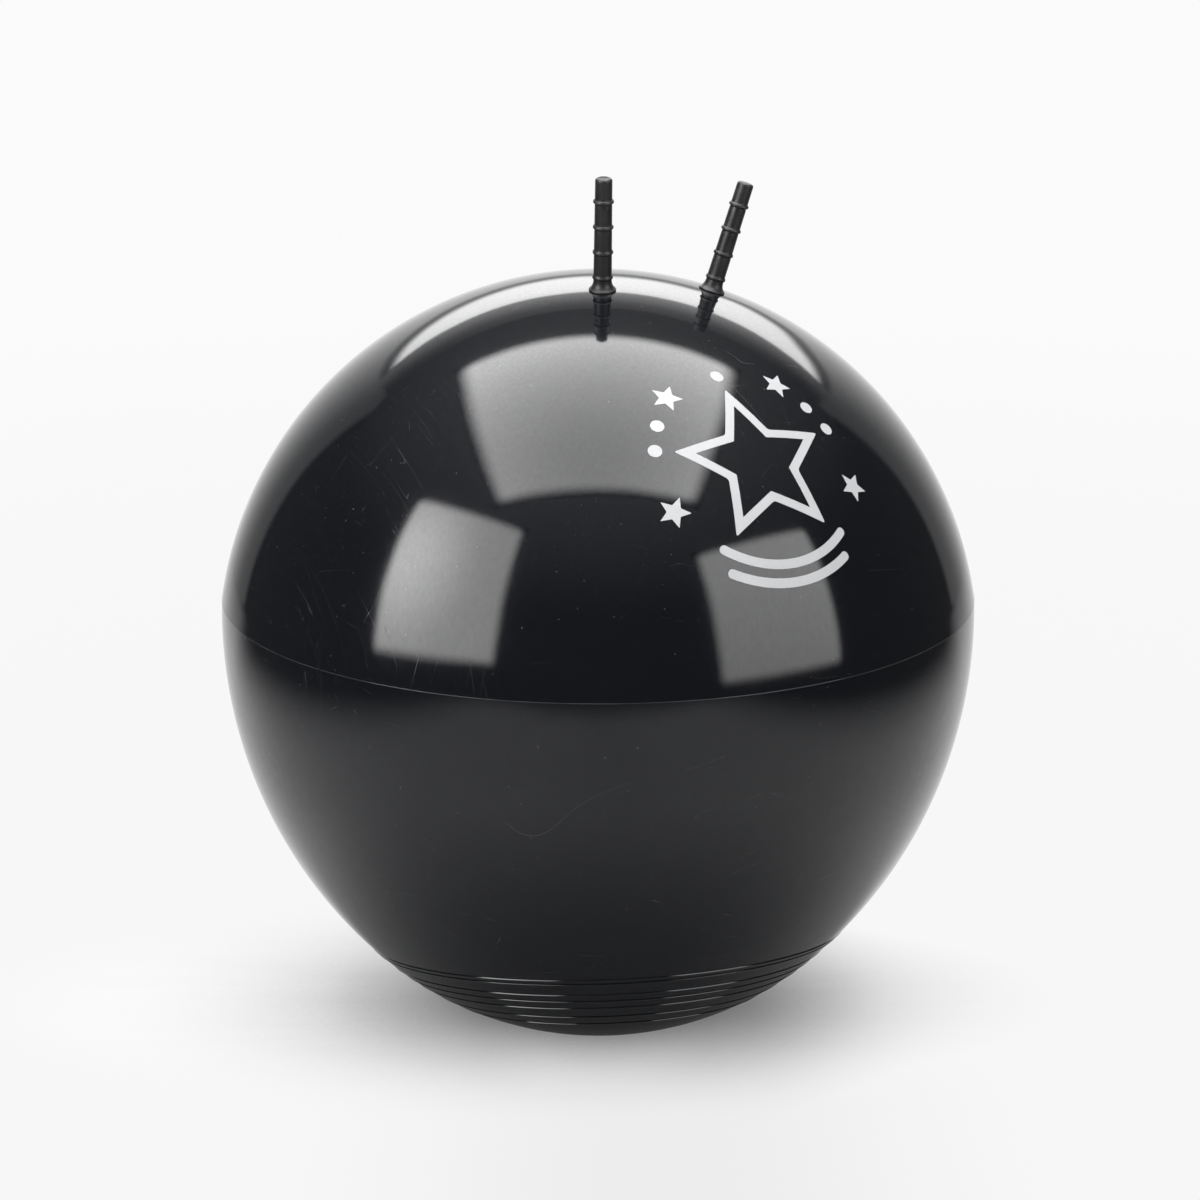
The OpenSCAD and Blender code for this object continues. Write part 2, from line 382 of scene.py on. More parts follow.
# Hairline scratches: thin curved lines where a noise crosses its middle value
NOISE_MIDDLE = 0.5
SCRATCH_BEND = 0.6
SCRATCH_BREAKS = 2.3


def scratch_group():
    group, given, result = new_group(
        "hairline scratches",
        {"Vector": "vector", "Scale": "float", "Width": "float", "Amount": "float"}, "Mask",
    )
    lines = noise(group, given["Vector"], given["Scale"], detail=0.0, distortion=SCRATCH_BEND)
    offset = maths(group, "ABSOLUTE", maths(group, "SUBTRACT", lines, NOISE_MIDDLE))
    thin = maths(group, "LESS_THAN", offset, given["Width"])
    broken_scale = maths(group, "MULTIPLY", given["Scale"], SCRATCH_BREAKS)
    broken = noise(group, given["Vector"], broken_scale, detail=1.0)
    least = maths(group, "SUBTRACT", 1.0, given["Amount"])
    kept = maths(group, "GREATER_THAN", broken, least)
    group.links.new(maths(group, "MULTIPLY", thin, kept), result)
    return group


# Dust: small round specks in some of the cells of a Voronoi pattern
def dust_group():
    group, given, result = new_group(
        "dust specks",
        {"Vector": "vector", "Scale": "float", "Size": "float", "Amount": "float"}, "Mask",
    )
    cells = add_node(
        group, "ShaderNodeTexVoronoi", {"Vector": given["Vector"], "Scale": given["Scale"]}
    ).outputs
    near = maths(group, "LESS_THAN", cells["Distance"], given["Size"])
    parts = add_node(group, "ShaderNodeSeparateColor", {"Color": cells["Color"]}).outputs
    kept = maths(group, "LESS_THAN", parts["Red"], given["Amount"])
    group.links.new(maths(group, "MULTIPLY", near, kept), result)
    return group


# Smudges: soft cloudy patches between a low and a high value
SMUDGE_LOW = 0.3
SMUDGE_HIGH = 0.7


def smudge_group():
    group, given, result = new_group(
        "smudges",
        {"Vector": "vector", "Scale": "float", "Low": "float", "High": "float"}, "Value",
    )
    clouds = noise(group, given["Vector"], given["Scale"], detail=4.0, roughness=0.55)
    spread = add_node(
        group, "ShaderNodeMapRange",
        {"Value": clouds, "From Min": SMUDGE_LOW, "From Max": SMUDGE_HIGH,
         "To Min": given["Low"], "To Max": given["High"]},
    )
    group.links.new(spread.outputs["Result"], result)
    return group


SCRATCHES = scratch_group()
DUST = dust_group()
SMUDGES = smudge_group()


def specks(tree, where, scale, size, amount):
    return placed_group(tree, DUST, {"Vector": where, "Scale": scale, "Size": size, "Amount": amount})


def smudges(tree, where, scale, low, high):
    return placed_group(tree, SMUDGES, {"Vector": where, "Scale": scale, "Low": low, "High": high})


def new_material(name):
    """A material's tree, its Principled shader and its Object coordinates."""
    material = bpy.data.materials.new(name)
    material.use_nodes = True
    tree = material.node_tree
    shader = tree.nodes["Principled BSDF"]
    where = add_node(tree, "ShaderNodeTexCoord").outputs["Object"]
    return material, tree, shader, where


# Glossy vinyl of the two skins. The scales of all patterns are per metre.
VINYL = (0.0042, 0.0048, 0.0064, 1)
# Pale colour of worn scratches, also used for the painted highlight along the seam
VINYL_WORN_AND_SEAM_HIGHLIGHT = (0.07, 0.071, 0.075, 1)
VINYL_IOR = 1.54
CLOUD_SCALE = 6.0
WAVE_SCALE = 9.0
WAVE_H = 0.3 * MM
PEEL_SCALE = 260.0
PEEL_H = 0.007 * MM
HAZE_SCALE = 110.0
HAZE_STRETCH = (4, 4, 1)
HAZE_HIGH = 0.17
HAZE_ROUGHNESS = 0.16
DUST_COLOUR = (0.16, 0.155, 0.15, 1)
SPECK_SCALE = 150.0
SPECK_SIZE = 0.05
GRIT_SCALE = 420.0
GRIT_SIZE = 0.08
GRIT_SHARE = 0.5
SCRATCH_DULLNESS = 0.2
SCRATCH_PALENESS = 0.4

# Scratch layers: turn, stretch, scale, width and amount. The last two lie in patches.
SCRATCH_LAYERS = [
    ((0.7, 0.2, 0.5), (1, 1, 1), 4.0, 0.00035, 0.40),
    ((0.4, 0.9, 0.2), (1, 1, 3), 13.0, 0.0010, 0.37),
    ((1.1, 0.3, 0.7), (1, 26, 1), 5.0, 0.0030, 0.48),
    ((0.2, 2.1, 1.3), (28, 1, 1), 6.0, 0.0032, 0.48),
]
PATCH_SCALE = 6.5
PATCH_EDGE = (0.52, 0.66)
PATCH_SHARE = 0.6

# Painted highlight along the seam, a pale line standing in for the weld bead's glint: from, to, value
# before and value after, and its breaks
SEAM_HIGHLIGHT = (0.15 * MM, 0.55 * MM, 0.42, 0.0)
SEAM_HIGHLIGHT_BREAK_SCALE = 30.0
SEAM_HIGHLIGHT_BREAKS = (0.35, 0.6, 0.5, 1.0)


def scratch_mask(tree, where):
    layers = [
        placed_group(
            tree, SCRATCHES,
            {"Vector": turned(tree, where, angle, stretch), "Scale": scale, "Width": width,
             "Amount": amount},
        )
        for angle, stretch, scale, width, amount in SCRATCH_LAYERS
    ]
    single = maths(tree, "MAXIMUM", layers[0], layers[1])
    patches = ramp(tree, noise(tree, where, PATCH_SCALE), *PATCH_EDGE)
    dense = maths(tree, "MULTIPLY", maths(tree, "MAXIMUM", layers[2], layers[3]), patches)
    return maths(tree, "MAXIMUM", single, maths(tree, "MULTIPLY", dense, PATCH_SHARE))


# Painted highlight: a pale band at the seam's height, varied in strength along its length by a noise
def seam_highlight_mask(tree, where):
    from_seam = maths(tree, "SUBTRACT", axes(tree, where)["Z"], SEAM_HEIGHT)
    line = ramp(tree, maths(tree, "ABSOLUTE", from_seam), *SEAM_HIGHLIGHT)
    breaks = ramp(tree, noise(tree, where, SEAM_HIGHLIGHT_BREAK_SCALE), *SEAM_HIGHLIGHT_BREAKS)
    return maths(tree, "MULTIPLY", line, breaks)


def vinyl_material(name, roughness_low, roughness_high, dust_amount):
    material, tree, shader, where = new_material(name)
    scratches = scratch_mask(tree, where)
    coarse = specks(tree, where, SPECK_SCALE, SPECK_SIZE, dust_amount)
    grit = specks(tree, where, GRIT_SCALE, GRIT_SIZE, dust_amount)
    dust = maths(tree, "MAXIMUM", coarse, maths(tree, "MULTIPLY", grit, GRIT_SHARE))
    clouds = smudges(tree, where, CLOUD_SCALE, roughness_low, roughness_high)
    scuffed = maths(tree, "MULTIPLY", scratches, SCRATCH_DULLNESS)
    pale = maths(tree, "MULTIPLY", scratches, SCRATCH_PALENESS)
    # Pale scratches are wear; the pale line along the seam is a painted highlight
    worn_and_seam_highlight = mix(tree, maths(tree, "MAXIMUM", pale, seam_highlight_mask(tree, where)), VINYL, VINYL_WORN_AND_SEAM_HIGHLIGHT)
    wavy = bump(tree, noise(tree, where, WAVE_SCALE), WAVE_H)
    peel = noise(tree, where, PEEL_SCALE, detail=3.0, roughness=0.6)
    streaky = turned(tree, where, (0, 0, 0), HAZE_STRETCH)
    fill_inputs(tree, shader, {
        "Roughness": maths(tree, "ADD", clouds, scuffed),
        "Base Color": mix(tree, dust, worn_and_seam_highlight, DUST_COLOUR),
        "Normal": bump(tree, peel, PEEL_H, wavy),
        "Coat Weight": smudges(tree, streaky, HAZE_SCALE, 0.0, HAZE_HIGH),
        "Coat Roughness": HAZE_ROUGHNESS,
        "IOR": VINYL_IOR,
    })
    return material


# Satin rubber of the horns and the valve
RUBBER_IOR = 1.5
RUBBER_CLOUD_SCALE = 60.0
RUBBER_SMOOTHER = 0.07
RUBBER_DULLER = 0.08
RUBBER_MOTTLE_SCALE = 110.0
RUBBER_MOTTLE = 0.3
RUBBER_GRAIN_SCALE = 700.0
RUBBER_GRAIN_H = 0.0007 * MM
RUBBED_EDGES = (0.5, 0.56)


def rubber_material(name, colour, worn_colour, roughness):
    material, tree, shader, where = new_material(name)
    low, high = roughness - RUBBER_SMOOTHER, roughness + RUBBER_DULLER
    mottle = smudges(tree, where, RUBBER_MOTTLE_SCALE, 0.0, RUBBER_MOTTLE)
    edges = add_node(tree, "ShaderNodeNewGeometry").outputs["Pointiness"]
    tint = maths(tree, "MAXIMUM", mottle, ramp(tree, edges, *RUBBED_EDGES))
    fill_inputs(tree, shader, {
        "Roughness": smudges(tree, where, RUBBER_CLOUD_SCALE, low, high),
        "Base Color": mix(tree, tint, colour, worn_colour),
        "Normal": bump(tree, noise(tree, where, RUBBER_GRAIN_SCALE), RUBBER_GRAIN_H),
        "IOR": RUBBER_IOR,
    })
    return material


# Silver-white printing ink
INK = (0.46, 0.465, 0.475, 1)
INK_THIN = (0.37, 0.375, 0.385, 1)
INK_PATCH_SCALE = 45.0
INK_GRAIN_SCALE = 900.0
INK_GRAIN_H = 0.01 * MM
INK_ROUGHNESS_SCALE = 20.0
INK_ROUGHNESS = (0.4, 0.5)


def ink_material(name):
    material, tree, shader, where = new_material(name)
    patches = smudges(tree, where, INK_PATCH_SCALE, 0.0, 1.0)
    speckle = smudges(tree, where, INK_GRAIN_SCALE, 0.0, 0.5)
    thin = maths(tree, "MULTIPLY", patches, speckle)
    fill_inputs(tree, shader, {
        "Roughness": smudges(tree, where, INK_ROUGHNESS_SCALE, *INK_ROUGHNESS),
        "Base Color": mix(tree, thin, INK, INK_THIN),
        "Normal": bump(tree, noise(tree, where, INK_GRAIN_SCALE), INK_GRAIN_H),
    })
    return material


dome_vinyl = vinyl_material("dome vinyl", 0.055, 0.08, 0.3)
belly_vinyl = vinyl_material("belly vinyl", 0.065, 0.095, 0.35)
horn_rubber = rubber_material("horn rubber", (0.013, 0.013, 0.014, 1), (0.03, 0.03, 0.032, 1), 0.38)
seat_rubber = rubber_material("seat rubber", (0.012, 0.012, 0.013, 1), (0.028, 0.028, 0.03, 1), 0.36)
plug_rubber = rubber_material("plug rubber", (0.02, 0.02, 0.021, 1), (0.04, 0.04, 0.042, 1), 0.4)
silver_ink = ink_material("silver ink")

# Dome skin, with its half of the weld bead at the seam. All its angles are from level.
DOME_EDGE = math.atan2(DOME_R - DOME_H, SEAM_R)
DOME_ROWS = 92
DOME_INSIDE_ROWS = 40
DOME_ROWS_AT_SEAM = (4 * MM, MM, 0.1 * MM)
BEAD_ANGLES = [84, 66, 48, 30, 14, 5]
BEAD_FOOT_H = 1.6 * BEAD_R
bead = [
    (SEAM_R + BEAD_R * math.cos(math.radians(a)), BEAD_R * math.sin(math.radians(a)))
    for a in BEAD_ANGLES
]


def on_dome(elevation, radius=DOME_R):
    """A place on the dome's outside or inside, as (radius, height)."""
    return (radius * math.cos(elevation), DOME_HEIGHT + radius * math.sin(elevation))


bead_foot = math.asin((DOME_R - DOME_H + BEAD_FOOT_H) / DOME_R)
dome_rows = span(math.pi / 2, bead_foot, DOME_ROWS)
dome_rows[-1:-1] = [bead_foot + rise / DOME_R for rise in DOME_ROWS_AT_SEAM]
dome_outline = [on_dome(a) for a in dome_rows]
dome_outline += [(radius, SEAM_HEIGHT + height) for radius, height in bead]
dome_outline += [
    on_dome(a, DOME_R - SKIN_T) for a in span(DOME_EDGE, math.pi / 2, DOME_INSIDE_ROWS)
]
dome_skin = spun("dome_skin", dome_outline, BALL_STEPS)
bpy.ops.mesh.primitive_cylinder_add(
    vertices=SMALL_STEPS, radius=NECK_R + WELD_GAP, depth=2 * NECK_L, location=(0, 0, DOME_R)
)
neck_cutter = bpy.context.object
select_only(neck_cutter)
bpy.ops.object.transform_apply()
place(neck_cutter, AT_VALVE)
cut_with(dome_skin, neck_cutter)
finish_piece(dome_skin, "ball", "upper_shell", dome_vinyl)


# Belly skin, spun about the tilted axis of its rings and then settled on the ball's outline
def skin_reach(polar):
    """Distance of the belly's outside from the base's centre, at an angle from straight down."""
    reach = BASE_R
    if polar > JOINT_POLAR:
        across = -FLANK_X
        up = BASE_Z - FLANK_Z
        along = across * math.sin(polar) - up * math.cos(polar)
        reach = math.sqrt(along**2 + FLANK_R**2 - across**2 - up**2) - along
    if polar < math.pi / 2:
        reach = min(reach, BASE_HEIGHT / math.cos(polar))
    return reach


# Points of a base groove: shares of its lip's taper and of its ledge, and its corners in mm
TAPER_SHARES = (1.0, 0.8, 0.6, 0.4, 0.25, 0.13)
LEDGE_SHARES = (0.08, 0.25, 0.42, 0.58, 0.75, 0.92)
LIP_CORNER = ((-0.2, 0.04), (-0.08, 0.0), (0.0, 0.02))
GROOVE_FLOOR_W = 0.08
ROOF_CORNER = ((-0.04, 0.03), (0.06, 0.0), (0.3, 0.0))


def groove(ring, tilt):
    """A base groove from its lower lip upwards, as (distance up the skin, depth), in mm.

    At the front, its ledge leans back from upright by the tilt and its roof falls inwards.
    """
    facing_down = 90 - ring - math.degrees(RINGS_FORWARD)
    ledge = math.radians(facing_down + tilt)
    roof = math.radians(facing_down + ROOF_TILT)
    width = LEDGE_W / MM
    stand = LIP_STAND / MM
    taper = LIP_TAPER / MM
    foot = width * math.cos(ledge)
    rise = width * math.sin(ledge)
    top = foot + (rise - stand) * math.tan(roof)
    middle = (top - stand * math.tan(roof)) / 2
    shape = [(-share * taper, -stand * (1 - share) ** LIP_POWER) for share in TAPER_SHARES]
    shape += [(up, deep - stand) for up, deep in LIP_CORNER]
    for share in LEDGE_SHARES:
        hollow = 4 * LEDGE_HOLLOW / MM * share * (1 - share)
        up = foot * share + hollow * math.sin(ledge)
        deep = rise * share - hollow * math.cos(ledge)
        shape.append((up, deep - stand))
    shape += [(foot, rise - stand), (foot + GROOVE_FLOOR_W, rise - stand)]
    shape += [(top + up, deep) for up, deep in ROOF_CORNER]
    return [(up - middle, deep) for up, deep in shape]


# Rows of the belly, as angles in degrees from straight down. Those above the rings are spread
# up to TOP_ANGLE, which stands for the seam. The layers tell its three faces apart.
MM_DEGREES = math.degrees(MM / BASE_R)
BELOW_RINGS = 2.2
FOOT_ROWS = 18
ROWS_BETWEEN = 3
TOP_ANGLE = 108.0
FLANK_ROWS = 62
FLANK_GAP = 0.6
BELLY_ROWS_AT_SEAM = (0.4, 0.03)
FLANK_INSIDE_ROWS = 24
FOOT_INSIDE_ROWS = 18
OUTER, BEAD, INNER = 1.0, 0.9, 0.8


def ring_rows():
    """Rows of the belly's outside from the pole up to the first ring, as (angle, depth)."""
    rows = [(a, 0.0) for a in span(0, RING_ANGLES[-1] - BELOW_RINGS, FOOT_ROWS)]
    for ring, tilt in list(zip(RING_ANGLES, LEDGE_TILTS))[::-1]:
        shape = [(ring + up * MM_DEGREES, deep * MM) for up, deep in groove(ring, tilt)]
        rows += [(a, 0.0) for a in span(rows[-1][0], shape[0][0], ROWS_BETWEEN)[1:-1]]
        rows += shape
    return rows


def on_layer(layer, degrees):
    return (layer * math.sin(math.radians(degrees)), -layer * math.cos(math.radians(degrees)))


ringed_rows = ring_rows()
depth_of = {round(angle, 3): depth for angle, depth in ringed_rows}
RINGS_END = ringed_rows[-1][0]
ABOVE_RINGS = RINGS_END + 0.1
outside_rows = [angle for angle, _ in ringed_rows] + span(RINGS_END + FLANK_GAP, TOP_ANGLE, FLANK_ROWS)
outside_rows[-1:-1] = [TOP_ANGLE - below for below in BELLY_ROWS_AT_SEAM]
bead_rows = [TOP_ANGLE + 1 + i for i in range(len(bead))]
inside_rows = span(TOP_ANGLE, RINGS_END + FLANK_GAP, FLANK_INSIDE_ROWS)
inside_rows += span(RINGS_END, 0, FOOT_INSIDE_ROWS)
belly_outline = [
    on_layer(layer, a)
    for layer, rows in ((OUTER, outside_rows), (BEAD, bead_rows), (INNER, inside_rows))
    for a in rows
]
belly_skin = spun("belly_skin", belly_outline, BALL_STEPS)
to_rings = AT_RINGS.to_3x3()
base_centre = Vector((0, 0, BASE_HEIGHT))
ON_FOOT = 0.01 * MM


def settled(point):
    """Place of a vertex of the spun belly on the ball."""
    layer = min((OUTER, BEAD, INNER), key=lambda value: abs(value - point.length))
    degrees = math.degrees(math.atan2(math.hypot(point.x, point.y), -point.z))
    on_flank = degrees > ABOVE_RINGS
    round_angle = math.atan2(point.y, point.x)
    row = math.radians(min(degrees, RINGS_END))
    way = to_rings @ Vector((
        math.sin(row) * math.cos(round_angle), math.sin(row) * math.sin(round_angle), -math.cos(row)
    ))
    if on_flank:
        level = Vector((way.x, way.y, 0)).normalized()
        if layer == BEAD:
            radius, height = bead[round(degrees - TOP_ANGLE - 1)]
            return level * radius + Vector((0, 0, SEAM_HEIGHT - height))
        share = min(1.0, (degrees - RINGS_END) / (TOP_ANGLE - RINGS_END))
        seam_way = (level * SEAM_R - Vector((0, 0, BASE_Z))).normalized()
        way = way.slerp(seam_way, share)
    reach = skin_reach(math.acos(max(-1.0, min(1.0, -way.z))))
    if layer == INNER:
        depth = SKIN_T if on_flank else BASE_T
    elif on_flank or abs(way.z * reach + BASE_HEIGHT) < ON_FOOT:
        depth = 0.0
    else:
        depth = depth_of[min(depth_of, key=lambda a: abs(a - degrees))]
    return base_centre + way * (reach - depth)


for vertex in belly_skin.data.vertices:
    vertex.co = settled(vertex.co)
select_only(belly_skin)
edit()
clean_up()
edit("OBJECT")
finish_piece(belly_skin, "ball", "lower_shell", belly_vinyl)

# Horns: a barrel with grip rings, a flared foot and a dished tip. The tip's dish is in shares of
# its radius, a grip ring in mm up and shares of its stand, the flare's lip in mm outwards and up.
DISH_SHARES = (0.3, 0.55, 0.75, 0.9)
RING_REACH = 2.5
RING_SHAPE = [
    (RING_REACH, 0.0), (1.9, 0.06), (1.5, 0.35), (1.1, 0.72), (0.55, 0.95), (0.0, 1.0),
    (-0.5, 0.93), (-0.95, 0.62), (-1.2, 0.2), (-1.45, -0.12), (-1.9, -0.14), (-RING_REACH, -0.04),
]
FLARE_LIP = [(0.12, 0.75), (0.14, 0.4), (0.0, 0.05), (-0.3, -0.4)]
FLARE_CLEAR = 0.2 * MM
FLARE_ROWS = 12
ROWS_BETWEEN_GRIPS = 6


def barrel_r(height):
    share = (height - FLARE_H) / (HORN_H - TIP_ROUND - FLARE_H)
    return HORN_FOOT_R + (HORN_TIP_R - HORN_FOOT_R) * share


def horn_outline():
    """From the middle of the tip down to the skin and back to the axis, as (radius, height)."""
    rim = HORN_TIP_R - TIP_ROUND
    above = HORN_H - TIP_ROUND
    barrel = [(0, HORN_H - TIP_DISH)]
    barrel += [(rim * share, HORN_H - TIP_DISH * (1 - share**2)) for share in DISH_SHARES]
    barrel += [
        (rim + TIP_ROUND * math.sin(a), HORN_H - TIP_ROUND * (1 - math.cos(a)))
        for a in span(0, math.pi / 2, ROUND_STEPS)
    ]
    for i in range(GRIP_RINGS)[::-1]:
        centre = FIRST_RING_H + i * GRIP_PITCH
        top = centre + RING_REACH * MM
        barrel += [(barrel_r(h), h) for h in span(above, top, ROWS_BETWEEN_GRIPS)[1:-1]]
        ring_stand = GRIP_RING_R - barrel_r(centre)
        for height, share in RING_SHAPE:
            here = centre + height * MM
            if here > FLARE_H + FLARE_CLEAR:
                barrel.append((barrel_r(here) + share * ring_stand, here))
        above = centre - RING_REACH * MM
    reach = FLARE_R - HORN_FOOT_R
    fall = FLARE_H - LIP_T
    hollow_r = (reach**2 + fall**2) / (2 * reach)
    end = math.pi + math.acos((hollow_r - reach) / hollow_r)
    barrel += [
        (HORN_FOOT_R + hollow_r * (1 + math.cos(a)), FLARE_H + hollow_r * math.sin(a))
        for a in span(math.pi, end, FLARE_ROWS)
    ]
    barrel += [(FLARE_R + out * MM, up * MM) for out, up in FLARE_LIP]
    barrel.append((0, -HORN_SINK))
    return [(radius, DOME_R + height) for radius, height in barrel]


horn_shape = horn_outline()
for side, node in ((-1, "left_horn"), (1, "right_horn")):
    horn = spun(node + "_ringed", horn_shape, SMALL_STEPS)
    place(horn, at_horn(side))
    finish_piece(horn, "ball", node, horn_rubber)


# Valve seat, with a recess for the plug and a notch for a fingernail
def polar(degrees, radius):
    return (radius * math.cos(math.radians(degrees)), radius * math.sin(math.radians(degrees)))


def arc(centre, radius, start, end, steps):
    """Points of an arc round a centre, with angles in degrees."""
    places = [polar(a, radius) for a in span(start, end, steps)]
    return [(centre[0] + x, centre[1] + y) for x, y in places]


RECESS_FLOOR = RIM_H - RECESS_H
SKIN_INSIDE = -SKIN_T - WELD_GAP


def on_skin(radius, inset=0.0):
    """Height of the dome's surface at a distance from the valve's axis, less an inset."""
    return math.sqrt((DOME_R - inset) ** 2 - radius**2) - DOME_R


seat_outline = [
    (AIR_HOLE_R, -NECK_L), (AIR_HOLE_R, RECESS_FLOOR - AIR_HOLE_EDGE),
    (AIR_HOLE_R + AIR_HOLE_EDGE, RECESS_FLOOR), (RECESS_R, RECESS_FLOOR),
    *arc((RECESS_R + RECESS_ROUND, RIM_H - RECESS_ROUND), RECESS_ROUND, 180, 90, ROUND_STEPS // 2),
    *arc((RIM_R - EDGE_ROUND, RIM_H - EDGE_ROUND), EDGE_ROUND, 90, 0, ROUND_STEPS),
    (RIM_R, RIM_FOOT), (RIM_R - RIM_TUCK, on_skin(RIM_R) + WELD_GAP),
    (NECK_R, on_skin(NECK_R) + WELD_GAP), (NECK_R, SKIN_INSIDE - NECK_STEP),
    (SEAT_FLANGE_R, on_skin(SEAT_FLANGE_R, SKIN_T + WELD_GAP)),
    (SEAT_FLANGE_R, on_skin(SEAT_FLANGE_R, SKIN_T + WELD_GAP + SEAT_FLANGE_T)),
    (NECK_R, SKIN_INSIDE - SEAT_FLANGE_T), (NECK_R, -NECK_L), (AIR_HOLE_R, -NECK_L),
]
valve_seat = spun("valve_seat_rim", [(r, DOME_R + h) for r, h in seat_outline], SMALL_STEPS)
bpy.ops.mesh.primitive_cube_add(size=1)
notch = bpy.context.object
notch.scale = (NOTCH_W, RIM_R + RECESS_R, 4 * RECESS_H)
notch_floor = DOME_R + RECESS_FLOOR + NOTCH_STEP
notch.location = (0, (RIM_R + RECESS_R) / 2 + STEM_R, notch_floor + 2 * RECESS_H)
bpy.ops.object.transform_apply()
rounding = notch.modifiers.new("rounding", "BEVEL")
rounding.width = NOTCH_ROUND
rounding.segments = NOTCH_ROUND_STEPS
bpy.ops.object.modifier_apply(modifier=rounding.name)
cut_with(valve_seat, notch)
place(valve_seat, AT_VALVE)
finish_piece(valve_seat, "ball", "valve_seat", seat_rubber)

# Valve plug, with a tapered stem and a dished head. The dish: share of the head's radius, mm deep.
HEAD_DISH = [(0, 0.5), (0.3, 0.45), (0.5, 0.25), (0.62, 0.03)]
plug_outline = [
    *[(HEAD_R * share, HEAD_H - deep * MM) for share, deep in HEAD_DISH],
    *arc((HEAD_R - EDGE_ROUND, HEAD_H - EDGE_ROUND), EDGE_ROUND, 90, 0, ROUND_STEPS),
    (HEAD_R, HEAD_EDGE), (HEAD_R - HEAD_EDGE, 0), (STEM_R, 0), (STEM_R, -STEM_L / 2),
    (STEM_R, TAPER_L - STEM_L), (TAPER_R, -STEM_L + STEM_EDGE), (TAPER_R - STEM_EDGE, -STEM_L),
    (0, -STEM_L),
]
valve_plug = spun(
    "valve_plug_stopper", [(r, DOME_R + RECESS_FLOOR + h) for r, h in plug_outline], SMALL_STEPS
)
place(valve_plug, AT_VALVE)
finish_piece(valve_plug, "plug", "valve_plug", plug_rubber)


# Print on the front: drawn flat, cut into a fine grid, laid on the dome and given its thickness
def flat_circle(corners, radius, centre=(0, 0)):
    bpy.ops.object.select_all(action="DESELECT")
    bpy.ops.mesh.primitive_circle_add(
        vertices=corners, radius=radius, fill_type="NGON", location=(*centre, 0)
    )
    shape = bpy.context.object
    bpy.ops.object.transform_apply()
    return shape


def flat_star(radius, inner, rounding, centre=(0, 0), turn=0):
    """A star whose first point is up, or turned by an angle."""
    shape = flat_circle(2 * STAR_POINTS, radius)
    for vertex in shape.data.vertices:
        from_top = math.atan2(vertex.co.y, vertex.co.x) - math.pi / 2
        if round(from_top * STAR_POINTS / math.pi) % 2:
            vertex.co *= inner / radius
    shape.data.transform(Matrix.Translation((*centre, 0)) @ Matrix.Rotation(turn, 4, "Z"))
    edit()
    bpy.ops.mesh.select_all(action="SELECT")
    bpy.ops.mesh.bevel(offset=rounding, segments=STAR_ROUND_STEPS, affect="VERTICES")
    edit("OBJECT")
    return shape


def flat_outline(places):
    """A filled outline from its corners, listed counter-clockwise."""
    shape = start_point("outline", (*places[0], 0))
    extrude_along([(x, y, 0) for x, y in places])
    bpy.ops.mesh.select_all(action="SELECT")
    bpy.ops.mesh.edge_face_add()
    edit("OBJECT")
    return shape


def arc_end(radius, angle, turn):
    """Half round end of a curved line, without the points that lie on its sides."""
    first = angle + turn + ARC_END_GAP
    last = angle + turn + 180 - ARC_END_GAP
    return arc(polar(angle, radius), LINE_W / 2, first, last, ARC_END_STEPS)


def arc_line(radius, start, end):
    """A curved line of even width with round ends."""
    half = LINE_W / 2
    places = [polar(a, radius + half) for a in span(start, end, ARC_STEPS)]
    places += arc_end(radius, end, 0)
    places += [polar(a, radius - half) for a in span(end, start, ARC_STEPS)]
    places += arc_end(radius, start, 180)
    return flat_outline(places)


def star_line(radius, inner):
    """A star drawn as a line of even width."""
    notch_x = inner * math.cos(math.pi / STAR_POINTS)
    notch_y = inner * math.sin(math.pi / STAR_POINTS)
    tip_angle = math.atan2(notch_y, radius - notch_x)
    notch_angle = tip_angle + math.pi / STAR_POINTS
    inside = flat_star(
        radius - LINE_W / math.sin(tip_angle), inner - LINE_W / math.sin(notch_angle),
        STAR_INSIDE_ROUND,
    )
    shape = flat_star(radius, inner, STAR_ROUND)
    inside.select_set(True)
    bpy.ops.object.join()
    edit()
    bpy.ops.mesh.select_all(action="SELECT")
    bpy.ops.mesh.delete(type="ONLY_FACE")
    bpy.ops.mesh.select_all(action="SELECT")
    bpy.ops.mesh.fill()
    edit("OBJECT")
    return shape


big_star = star_line(STAR_R, STAR_INNER_R)
shapes = [big_star]
shapes += [
    arc_line(ARC_R + i * ARC_PITCH, ARC_START + i * ARC_INSET, ARC_END - i * ARC_INSET)
    for i in (0, 1)
]
shapes += [
    flat_star(
        SMALL_STAR_R, SMALL_STAR_R * SMALL_STAR_SHARE, SMALL_STAR_ROUND,
        polar(angle, SMALL_STAR_PLACE_R), math.radians(angle - 90),
    )
    for angle in SMALL_STAR_ANGLES
]
shapes += [flat_circle(DOT_STEPS, DOT_R, polar(angle, ARC_R)) for angle in DOT_ANGLES]
bpy.ops.object.select_all(action="DESELECT")
for shape in shapes:
    shape.select_set(True)
bpy.context.view_layer.objects.active = big_star
bpy.ops.object.join()
ink_print = bpy.context.object
ink_print.name = ink_print.data.name = "front_print"
edit()
for direction in ((1, 0, 0), (0, 1, 0)):
    for offset in span(-INK_GRID_REACH, INK_GRID_REACH, round(2 * INK_GRID_REACH / INK_GRID)):
        bpy.ops.mesh.select_all(action="SELECT")
        bpy.ops.mesh.bisect(plane_co=[offset * d for d in direction], plane_no=direction)
bpy.ops.mesh.select_all(action="SELECT")
bpy.ops.mesh.remove_doubles(threshold=MERGE)
edit("OBJECT")
for vertex in ink_print.data.vertices:
    x, y, _ = vertex.co
    vertex.co.z = math.sqrt((DOME_R + INK_CLEAR) ** 2 - x**2 - y**2)
select_only(ink_print)
edit()
bpy.ops.mesh.select_all(action="SELECT")
